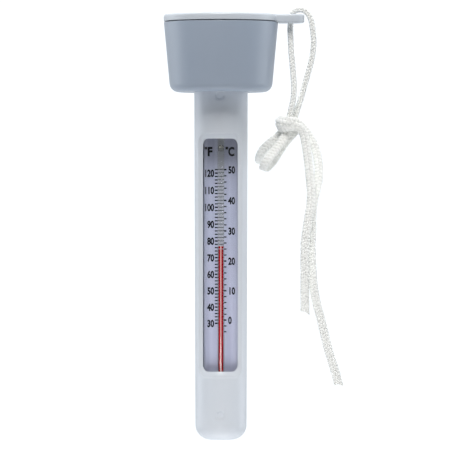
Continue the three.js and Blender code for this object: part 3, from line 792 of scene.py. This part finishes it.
def tube_profile():
    """The tube's closed section as (radius, height) points, and the rows of its openings."""
    outside_rows = [*mark_rows(MARK_HEIGHTS[0]), *window_rows(), *mark_rows(MARK_HEIGHTS[1])]
    end = TUBE_LOW.z
    corner = Vector((TUBE_END_RADIUS - TUBE_CORNER, end + TUBE_CORNER))
    arc = spread(-math.pi / 2, 0, END_STEPS)
    profile = [(0, end)]
    profile += [
        (corner.x + TUBE_CORNER * math.cos(a), corner.y + TUBE_CORNER * math.sin(a)) for a in arc
    ]
    first = len(profile)
    profile += [(tube_radius(z), z) for z in outside_rows if z > corner.y + 1e-6]
    rows = {row_key(z): first + k for k, (_, z) in enumerate(profile[first:])}
    profile += rounded([
        (TUBE_TOP_RADIUS, NECK_FOOT, 0),
        (TUBE_TOP_RADIUS, FLANGE_BOTTOM, 0),
        (FLANGE_RADIUS, FLANGE_BOTTOM, 0.3 * MM),
        (FLANGE_RADIUS, FLANGE_TOP, 0.3 * MM),
        (TUBE_TOP_RADIUS, FLANGE_TOP, 0.3 * MM),
        (TUBE_TOP_RADIUS, TUBE_HIGH.z, 0.3 * MM),
        (TUBE_BORE, TUBE_HIGH.z, 0.3 * MM),
        (TUBE_BORE, BORE_FOOT, 0),
    ])
    inside_first = len(profile)
    profile += [(TUBE_BORE, z) for z in reversed(window_rows())]
    inner = TUBE_CORNER - TUBE_FLOOR
    floor = end + TUBE_FLOOR
    profile += [
        (TUBE_BORE - inner * (1 - math.cos(a)), floor + inner * (1 - math.sin(a)))
        for a in spread(0, math.pi / 2, INNER_END_STEPS)
    ]
    profile.append((0, floor))
    return profile, rows, inside_first


def drawn_in(place, half, low, high, corner):
    """A rectangle's edge point (across, height) drawn in to a rounded rectangle's outline."""
    across = min(max(place[0], corner - half), half - corner)
    height = min(max(place[1], low + corner), high - corner)
    core = Vector((across, height))
    return core + (Vector(place) - core).normalized() * corner


def on_tube(across, height, radius):
    """The point at that arc length and height, wrapped round the tube at the radius."""
    angle = across / WINDOW_RADIUS
    return (radius * math.sin(angle), -radius * math.cos(angle), height)


class TubeSkin:
    """The tube's faces, with gaps in the grid of rows and columns for what is drawn in them."""

    def __init__(self, profile, front, back, gaps):
        def in_gap(row, column):
            return any(r[0] <= row < r[1] and c[0] <= column < c[1] for r, c in gaps)

        self.profile = profile
        self.front = front
        self.points, self.faces, self.table = revolved(profile, front + back, in_gap)

    def loop(self, gap):
        """The places round a gap, as arc length and height, and their point numbers."""
        (low, high), (left, right) = gap
        grid = [(low, c) for c in range(left, right)]
        grid += [(r, right) for r in range(low, high)]
        grid += [(high, c) for c in range(right, left, -1)]
        grid += [(r, left) for r in range(high, low, -1)]
        places = [(self.front[c] * WINDOW_RADIUS, self.profile[r][1]) for r, c in grid]
        return places, [self.table[r][c] for r, c in grid]

    def draw(self, places, last, shape, depth):
        """Joins a loop to a new one, its places drawn in to the shape and sunk to the depth."""
        first = len(self.points)
        for place in places:
            across, height = drawn_in(place, *shape)
            self.points.append(on_tube(across, height, tube_radius(height) - depth(height)))
        new = list(range(first, len(self.points)))
        bridge(self.faces, last, new)
        return new


def draw_window(skin, outer, inner):
    places, last = skin.loop(outer)
    for share, growth, sunk in WINDOW_STAGES:
        half, top, bottom, corner = window_outline(share)
        out = growth * WINDOW_EDGE
        shape = (half * WINDOW_RADIUS + out, bottom - out, top + out, corner + out)
        last = skin.draw(places, last, shape, lambda z: sunk * (tube_radius(z) - TUBE_BORE))

    def place_key(place):
        return round(place[0], 7), row_key(place[1])

    numbers = {place_key(place): number for place, number in zip(*skin.loop(inner))}
    bridge(skin.faces, last, [numbers[place_key(place)] for place in places])


def draw_mark(skin, gap, height):
    """A shallow round recess with a soft edge."""
    places, last = skin.loop(gap)
    for inset, share in MARK_STAGES:
        radius = MARK_RADIUS - inset
        shape = (radius, height - radius, height + radius, radius)
        last = skin.draw(places, last, shape, lambda z: share * MARK_DEPTH)
    fan(skin.faces, last, len(skin.points))
    skin.points.append(on_tube(0, height, tube_radius(height) - MARK_DEPTH))


def housing():
    front, back = tube_columns()
    profile, rows, inside_first = tube_profile()
    heights = window_rows()
    across = (0, len(front) - 1)
    middle = len(front) // 2
    mark_across = (middle - MARK_STEPS // 2, middle + MARK_STEPS // 2)

    def gap_between(heights, columns):
        return (rows[row_key(heights[0])], rows[row_key(heights[-1])]), columns

    outer = gap_between(heights, across)
    inner = (inside_first, inside_first + len(heights) - 1), across
    marks = [gap_between(mark_rows(height), mark_across) for height in MARK_HEIGHTS]
    skin = TubeSkin(profile, front, back, [outer, inner, *marks])
    draw_window(skin, outer, inner)
    for gap, height in zip(marks, MARK_HEIGHTS):
        draw_mark(skin, gap, height)
    piece = add_mesh("housing", skin.points, skin.faces, TUBE_PLASTIC)
    stand_for(piece, "tube_housing")


housing()


# -------- stopper, plug and seals

HEAD = 2.2 * MM  # thickness of the stopper's rim and the plug's head
STOPPER_BODY = 11 * MM
STOPPER_INNER = 7.8 * MM
STOPPER_GROOVE = 1.7 * MM
PLUG_BODY = 9.2 * MM


def gasket():
    low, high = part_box("flange_gasket")
    section = rectangle(CUP_HOLE, high.x, low.z, high.z)
    corners = [(x, z, 0.3 * MM) for x, z in section]
    turned("cup_gasket", "flange_gasket", corners, RUBBER, "seal_rubber")


def seal_ring(name, node):
    """A rubber ring of round section."""
    low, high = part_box(node)
    section = (high.z - low.z) / 2
    middle = (high.z + low.z) / 2
    corners = [
        (high.x - section + section * math.cos(a), middle + section * math.sin(a), 0)
        for a in even_angles(16)
    ]
    turned(name, node, corners, RUBBER, "seal_rubber")


def stopper():
    low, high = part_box("housing_stopper")
    rim = high.z - HEAD
    turned("tube_stopper", "housing_stopper", [
        (0, rim, 0),
        (STOPPER_INNER, rim, 0.5 * MM),
        (STOPPER_INNER, low.z, 0.3 * MM),
        (STOPPER_BODY, low.z, 0.4 * MM),
        *groove(STOPPER_BODY, STOPPER_GROOVE, "stopper_seal"),
        (STOPPER_BODY, rim, 0.2 * MM),
        (high.x, rim, 0.4 * MM),
        (high.x, high.z, 0.6 * MM),
        (0, high.z, 0),
    ], CUP_PLASTIC, "float_plastic")


def plug():
    low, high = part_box("capsule_plug")
    turned("rubber_plug", "capsule_plug", [
        (0, low.z, 0),
        (PLUG_BODY, low.z, 0.6 * MM),
        (PLUG_BODY, high.z - HEAD, 0.2 * MM),
        (high.x, high.z - HEAD, 0.4 * MM),
        (high.x, high.z, 0.6 * MM),
        (0, high.z, 0),
    ], RUBBER, "seal_rubber")


stopper()
plug()
gasket()
seal_ring("lid_ring", "lid_seal")
seal_ring("stopper_ring", "stopper_seal")


# -------- capsule, cushion and ballast

CAPSULE_WALL = 1.4 * MM
CAPSULE_CORNER = 6 * MM
BALLAST_CORNER = 5.3 * MM
PAD_STEP = 1 * MM
PAD_UNEVENNESS = 0.012  # of a pad's radius
PAD_LOBES = 5
PAD_FLAT = 0.45  # of its radius, the flat middle of its top


def capsule():
    low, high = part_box("clear_capsule")
    inner, floor = high.x - CAPSULE_WALL, low.z + CAPSULE_WALL
    turned("capsule", "clear_capsule", [
        (0, low.z, 0),
        (high.x, low.z, CAPSULE_CORNER),
        (high.x, high.z, 0.4 * MM),
        (inner, high.z, 0.4 * MM),
        (inner, floor, CAPSULE_CORNER - CAPSULE_WALL),
        (0, floor, 0),
    ], CLEAR_PLASTIC, "clear_plastic", sides=128)


def crowned_pad(name, node, corner, crown):
    """A foam pad: soft edges, a crowned top and a slightly uneven skin."""
    low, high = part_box(node)
    outline = rounded([
        (0, low.z, 0), (high.x, low.z, corner), (high.x, high.z - crown, 0.5 * MM),
        (PAD_FLAT * high.x, high.z, 4 * MM), (0, high.z, 0),
    ])
    rows = []
    for start, end in loop_pairs(outline):
        count = max(1, round((end - start).length / PAD_STEP))
        rows += [start.lerp(end, k / count) for k in range(count)]
    points, faces, _ = revolved(rows, even_angles(72))
    soft = []
    for x, y, z in points:
        ripple = math.sin(PAD_LOBES * math.atan2(y, x) + z / MM) * math.hypot(x, y) / high.x
        sink = 1 - PAD_UNEVENNESS * (1 + ripple)
        soft.append((x * sink, y * sink, z))
    piece = add_mesh(name, soft, faces, FOAM)
    stand_for(piece, node)


def ballast():
    low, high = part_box("ballast_weight")
    turned("ballast", "ballast_weight", [
        (0, low.z, 0),
        (high.x, low.z, BALLAST_CORNER),
        (high.x, high.z, 1 * MM),
        (0, high.z, 0),
    ], STEEL, "ballast_steel")


capsule()
crowned_pad("bulb_rest", "bulb_cushion", 4.4 * MM, 0.5 * MM)
crowned_pad("capsule_rest", "capsule_pad", 0.4 * MM, 0.3 * MM)
ballast()
for clip in ("upper_clip", "lower_clip"):
    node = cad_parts[clip]
    node.data.materials.clear()
    node.data.materials.append(STEEL)


# -------- scale card and its print

CARD_LOW, CARD_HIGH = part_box("scale_card")
CARD_FACE = CARD_LOW.y
CARD_CORNER = 1.2 * MM
INK_THICKNESS = 0.03 * MM


def flat_slab(outline, front, thickness):
    """Points and faces of a slab that faces -Y, from an (x, z) outline."""
    points = [(x, y, z) for y in (front, front + thickness) for x, z in outline]
    near, far = numbered_rings(2, len(outline))
    faces = [tuple(near), tuple(reversed(far))]
    bridge(faces, far, near)
    return points, faces


def card():
    edge = rectangle(CARD_LOW.x, CARD_HIGH.x, CARD_LOW.z, CARD_HIGH.z)
    outline = rounded([(x, z, CARD_CORNER) for x, z in edge])
    points, faces = flat_slab(outline, CARD_FACE, CARD_HIGH.y - CARD_FACE)
    stand_for(add_mesh("card", points, faces, CARD), "scale_card")


# heights of three Fahrenheit marks; the parabola through them gives the others
SCALE_MARKS = ((30, -134.4 * MM), (80, -93.4 * MM), (122, -57.85 * MM))
TYPE_CAPITALS = 0.73  # height of the typeface's capitals, of its size
BOLDNESS = 0.06  # added to each side of a stroke, of the height of the figures
DIGIT_HEIGHT = 3.5 * MM
DIGIT_NARROW = 0.72
DIGIT_START = 3.6 * MM  # from the middle of the card, on either side
TICK = 0.6 * MM
BOLD_TICK = 0.75 * MM
FINE_TICK = 0.3 * MM
FAHRENHEIT_TICK = (-3.2 * MM, -1.8 * MM)  # left and right ends
FINE_PART = (-1.8 * MM, 1 * MM)  # of a Fahrenheit tick, which runs on under the stem
CELSIUS_TICK = (1.3 * MM, 2.7 * MM)
SIGN_HEIGHT = 4.4 * MM
SIGN_MIDDLE = -48.7 * MM
SIGNS = (("F", -7 * MM, 0.9), ("C", 3.6 * MM, 0.74))  # letter, left edge and narrowing
DEGREE_SIZE = 1.3 * MM
DEGREE_GAP = 0.1 * MM  # between the degree mark and its letter
DEGREE_MIDDLE = SIGN_MIDDLE + 0.36 * SIGN_HEIGHT


def fahrenheit_height(degrees):
    def weight(mark):
        others = [other for other, _ in SCALE_MARKS if other != mark]
        return math.prod((degrees - other) / (mark - other) for other in others)

    return sum(z * weight(mark) for mark, z in SCALE_MARKS)


def celsius_height(degrees):
    return fahrenheit_height(degrees * 9 / 5 + 32)


def printed_text(words, x, z, height, anchor, narrow):
    """Words of a plain sans face made bold, as a thin solid of ink about the height z."""
    curve = bpy.data.curves.new("print", "FONT")
    curve.body = words
    curve.size = height / TYPE_CAPITALS
    curve.align_x = anchor
    curve.offset = BOLDNESS * height
    curve.extrude = INK_THICKNESS / 2
    curve.resolution_u = 4
    text = new_object("print", curve)
    mesh = evaluated_mesh(text)
    bpy.data.objects.remove(text)
    upright = Matrix.Rotation(math.pi / 2, 4, "X") @ Matrix.Diagonal((narrow, 1, 1, 1))
    place = Matrix.Translation((x, CARD_FACE - INK_THICKNESS / 2, z - height / 2))
    mesh.transform(place @ upright)
    return mesh


def printed_bar(left, right, z, thickness):
    outline = rectangle(left, right, z - thickness / 2, z + thickness / 2)
    points, faces = flat_slab(outline, CARD_FACE - INK_THICKNESS, INK_THICKNESS)
    mesh = bpy.data.meshes.new("print")
    mesh.from_pydata(points, [], faces)
    return mesh


def figures(degrees, height_at, x, anchor):
    return [
        printed_text(str(mark), x, height_at(mark), DIGIT_HEIGHT, anchor, DIGIT_NARROW)
        for mark in degrees
    ]


def ticks(degrees, height_at, ends):
    """Ticks at every mark, bolder at the tens."""
    return [
        printed_bar(*ends, height_at(mark), TICK if mark % 10 else BOLD_TICK)
        for mark in degrees
    ]


def unit_signs():
    """The letters, each with its degree mark."""
    marks = []
    for letter, x, narrow in SIGNS:
        right = x - DEGREE_GAP
        marks += [
            printed_text(letter, x, SIGN_MIDDLE, SIGN_HEIGHT, "LEFT", narrow),
            printed_bar(right - DEGREE_SIZE, right, DEGREE_MIDDLE, DEGREE_SIZE),
        ]
    return marks


def scale_print():
    """The figures, the ticks of both scales and the two unit signs, as one piece of ink."""
    even_marks = range(30, 123, 2)
    marks = [
        *figures(range(30, 121, 10), fahrenheit_height, -DIGIT_START, "RIGHT"),
        *ticks(even_marks, fahrenheit_height, FAHRENHEIT_TICK),
        *[printed_bar(*FINE_PART, fahrenheit_height(mark), FINE_TICK) for mark in even_marks],
        *figures(range(0, 51, 10), celsius_height, DIGIT_START, "LEFT"),
        *ticks(range(-4, 51, 2), celsius_height, CELSIUS_TICK),
        *unit_signs(),
    ]
    work = bmesh.new()
    for mesh in marks:
        work.from_mesh(mesh)
        bpy.data.meshes.remove(mesh)
    bmesh.ops.remove_doubles(work, verts=work.verts, dist=0.001 * MM)
    bmesh.ops.recalc_face_normals(work, faces=work.faces)
    mesh = bpy.data.meshes.new("scale_print")
    work.to_mesh(mesh)
    work.free()
    mesh.materials.append(INK)
    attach(new_object("scale_print", mesh), "root")


card()
scale_print()


# -------- thermometer

STEM_LOW, STEM_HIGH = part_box("glass_stem")
STEM_AXIS = (0, (STEM_LOW.y + STEM_HIGH.y) / 2)
STEM_RADIUS = 1.6 * MM
BULB_RADIUS = STEM_HIGH.x
BULB_TOP = -160.5 * MM
CHAMBER = (-45.6 * MM, -48.6 * MM, 1 * MM)  # top, bottom and radius
THREAD_RADIUS = 0.8 * MM
COLUMN_LOW, COLUMN_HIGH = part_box("spirit_column")
MENISCUS_LOW, MENISCUS_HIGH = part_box("spirit_meniscus")
THREAD_LOOKS = (SPIRIT, "red_spirit", 24, STEM_AXIS)  # material, slot, sides and place
THREAD_ROWS = 80  # rows along the thread, from its foot to its top
MENISCUS_DIP = 0.35 * MM


def stem():
    """The glass stem and its bulb, solid round the spirit, with the gas chamber at its top."""
    corners = rounded([
        (0, STEM_LOW.z, 0),
        (BULB_RADIUS, STEM_LOW.z, 2.2 * MM),
        (BULB_RADIUS, BULB_TOP - 0.8 * MM, 1.2 * MM),
        (STEM_RADIUS, BULB_TOP + 0.6 * MM, 1 * MM),
        (STEM_RADIUS, STEM_HIGH.z, 0.9 * MM),
        (0, STEM_HIGH.z, 0),
    ])
    top, bottom, radius = CHAMBER
    pocket = rounded([
        (0, bottom, 0), (radius, bottom, 0.9 * MM), (radius, top, 0.9 * MM), (0, top, 0),
    ])
    points, faces, _ = revolved(corners, even_angles(64))
    inner_points, inner_faces, _ = revolved(pocket, even_angles(32))
    faces += [tuple(i + len(points) for i in reversed(face)) for face in inner_faces]
    points = moved(points + inner_points, STEM_AXIS)
    stand_for(add_mesh("stem", points, faces, GLASS), "glass_stem")


def spirit_thread():
    """The red thread of spirit in the stem."""
    heights = spread(COLUMN_LOW.z, COLUMN_HIGH.z, THREAD_ROWS)
    outline = [(0, COLUMN_LOW.z), *[(THREAD_RADIUS, z) for z in heights], (0, COLUMN_HIGH.z)]
    thread = turned_mesh("spirit_thread", outline, *THREAD_LOOKS)
    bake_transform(thread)
    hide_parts("spirit_column")


def spirit_surface():
    """The thread's hollow top, which moves with the temperature."""
    outline = rounded([
        (0, MENISCUS_LOW.z, 0),
        (THREAD_RADIUS, MENISCUS_LOW.z, 0),
        (THREAD_RADIUS, MENISCUS_HIGH.z, 0.05 * MM),
        (0.5 * THREAD_RADIUS, MENISCUS_HIGH.z - 0.8 * MENISCUS_DIP, 0.3 * MM),
        (0, MENISCUS_HIGH.z - MENISCUS_DIP, 0),
    ])
    surface = turned_mesh("spirit_surface", outline, *THREAD_LOOKS)
    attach(surface, "meniscus")
    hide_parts("spirit_meniscus")


def bulb_spirit():
    low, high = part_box("spirit_in_bulb")
    turned("bulb_spirit", "spirit_in_bulb", [
        (0, low.z, 0), (high.x, low.z, 1.4 * MM), (high.x, high.z, 0.6 * MM), (0, high.z, 0),
    ], SPIRIT, "red_spirit", sides=32, at=STEM_AXIS)


stem()
spirit_thread()
spirit_surface()
bulb_spirit()


# -------- floor, light and background

FLOOR_DROP = 0.5  # below the tube's end
FLOOR_RADIUS = 2
FLOOR_THICKNESS = 0.01
ROOM_COLOUR = (0.93, 0.97, 1, 1)
ROOM_IN_FRONT = 0.04  # strengths of the room's light
ROOM_AT_SIDES = 1.9
ROOM_BEHIND = 0.7
ROOM_SEEN = 1.15
LAMP_COLOUR = (1, 0.985, 0.96)


def floor_material():
    finish = Finish("floor_paper", (240, 240, 240), 0.8)
    finish.vary_colour(finish.noise(0.4), (236, 236, 237))
    finish.vary_roughness(finish.noise(0.05), 0.05)
    finish.bump(finish.noise(2 * MM), 0.02 * MM)
    return finish.material


def add_floor():
    top = TUBE_LOW.z - FLOOR_DROP
    outline = rectangle(0, FLOOR_RADIUS, top, top - FLOOR_THICKNESS)
    turned_mesh("floor", outline, floor_material())


def add_lamp(kind, name, place, aim, power, mirrored=True, **settings):
    """A lamp aimed at a point, whose own reflection shows on glossy pieces if mirrored."""
    lamp = bpy.data.lights.new(name, kind)
    lamp.energy = power
    lamp.color = LAMP_COLOUR
    for setting, value in settings.items():
        setattr(lamp, setting, value)
    stand = new_object(name, lamp)
    stand.location = place
    stand.rotation_euler = (Vector(aim) - Vector(place)).to_track_quat("-Z", "Y").to_euler()
    stand.visible_camera = False
    stand.visible_glossy = mirrored


def add_room():
    """A room that is dark in front of the object, brightest at its sides and less so behind.

    The camera sees it white all round.
    """
    world = bpy.data.worlds.new("room")
    world.use_nodes = True
    bpy.context.scene.world = world
    nodes, links = world.node_tree.nodes, world.node_tree.links
    background = nodes["Background"]
    direction = nodes.new("ShaderNodeTexCoord").outputs["Generated"]
    parts = nodes.new("ShaderNodeSeparateXYZ")
    links.new(direction, parts.inputs["Vector"])

    def eased_from(start, end, low):
        """A range node that follows the direction's part away from the viewer."""
        node = nodes.new("ShaderNodeMapRange")
        node.interpolation_type = "SMOOTHSTEP"
        set_sockets(node, From_Min=start, From_Max=end, To_Min=low)
        links.new(parts.outputs["Y"], node.inputs["Value"])
        return node

    behind = eased_from(0.3, 0.9, ROOM_AT_SIDES)
    set_sockets(behind, To_Max=ROOM_BEHIND)
    strength = eased_from(-0.3, 0.3, ROOM_IN_FRONT)
    links.new(behind.outputs["Result"], strength.inputs["To Max"])
    seen = nodes.new("ShaderNodeLightPath").outputs["Is Camera Ray"]
    mix = nodes.new("ShaderNodeMix")
    set_sockets(mix, B=ROOM_SEEN)
    links.new(seen, mix.inputs["Factor"])
    links.new(strength.outputs["Result"], mix.inputs["A"])
    links.new(mix.outputs["Result"], background.inputs["Strength"])
    set_sockets(background, Color=ROOM_COLOUR)


add_floor()
add_room()
add_lamp("AREA", "overhead", (0, -0.42, 0.6), (0, 0, -0.05), 4.8, size=0.35)
add_lamp("AREA", "bounce", (0, -0.08, -0.62), (0, -0.02, 0), 0.5, size=0.35)
add_lamp(
    "SPOT", "low_front", (0, -0.45, -0.32), (0, 0, -0.17), 3.9, mirrored=False,
    spot_size=math.radians(30), spot_blend=1, shadow_soft_size=0.1,
)
add_lamp(
    "SPOT", "cord_side", (0.4, -0.4, -0.06), (0.063, 0, -0.06), 2.4, mirrored=False,
    spot_size=math.radians(9), spot_blend=0.9, shadow_soft_size=0.03,
)
bpy.context.scene.view_settings.view_transform = "Standard"
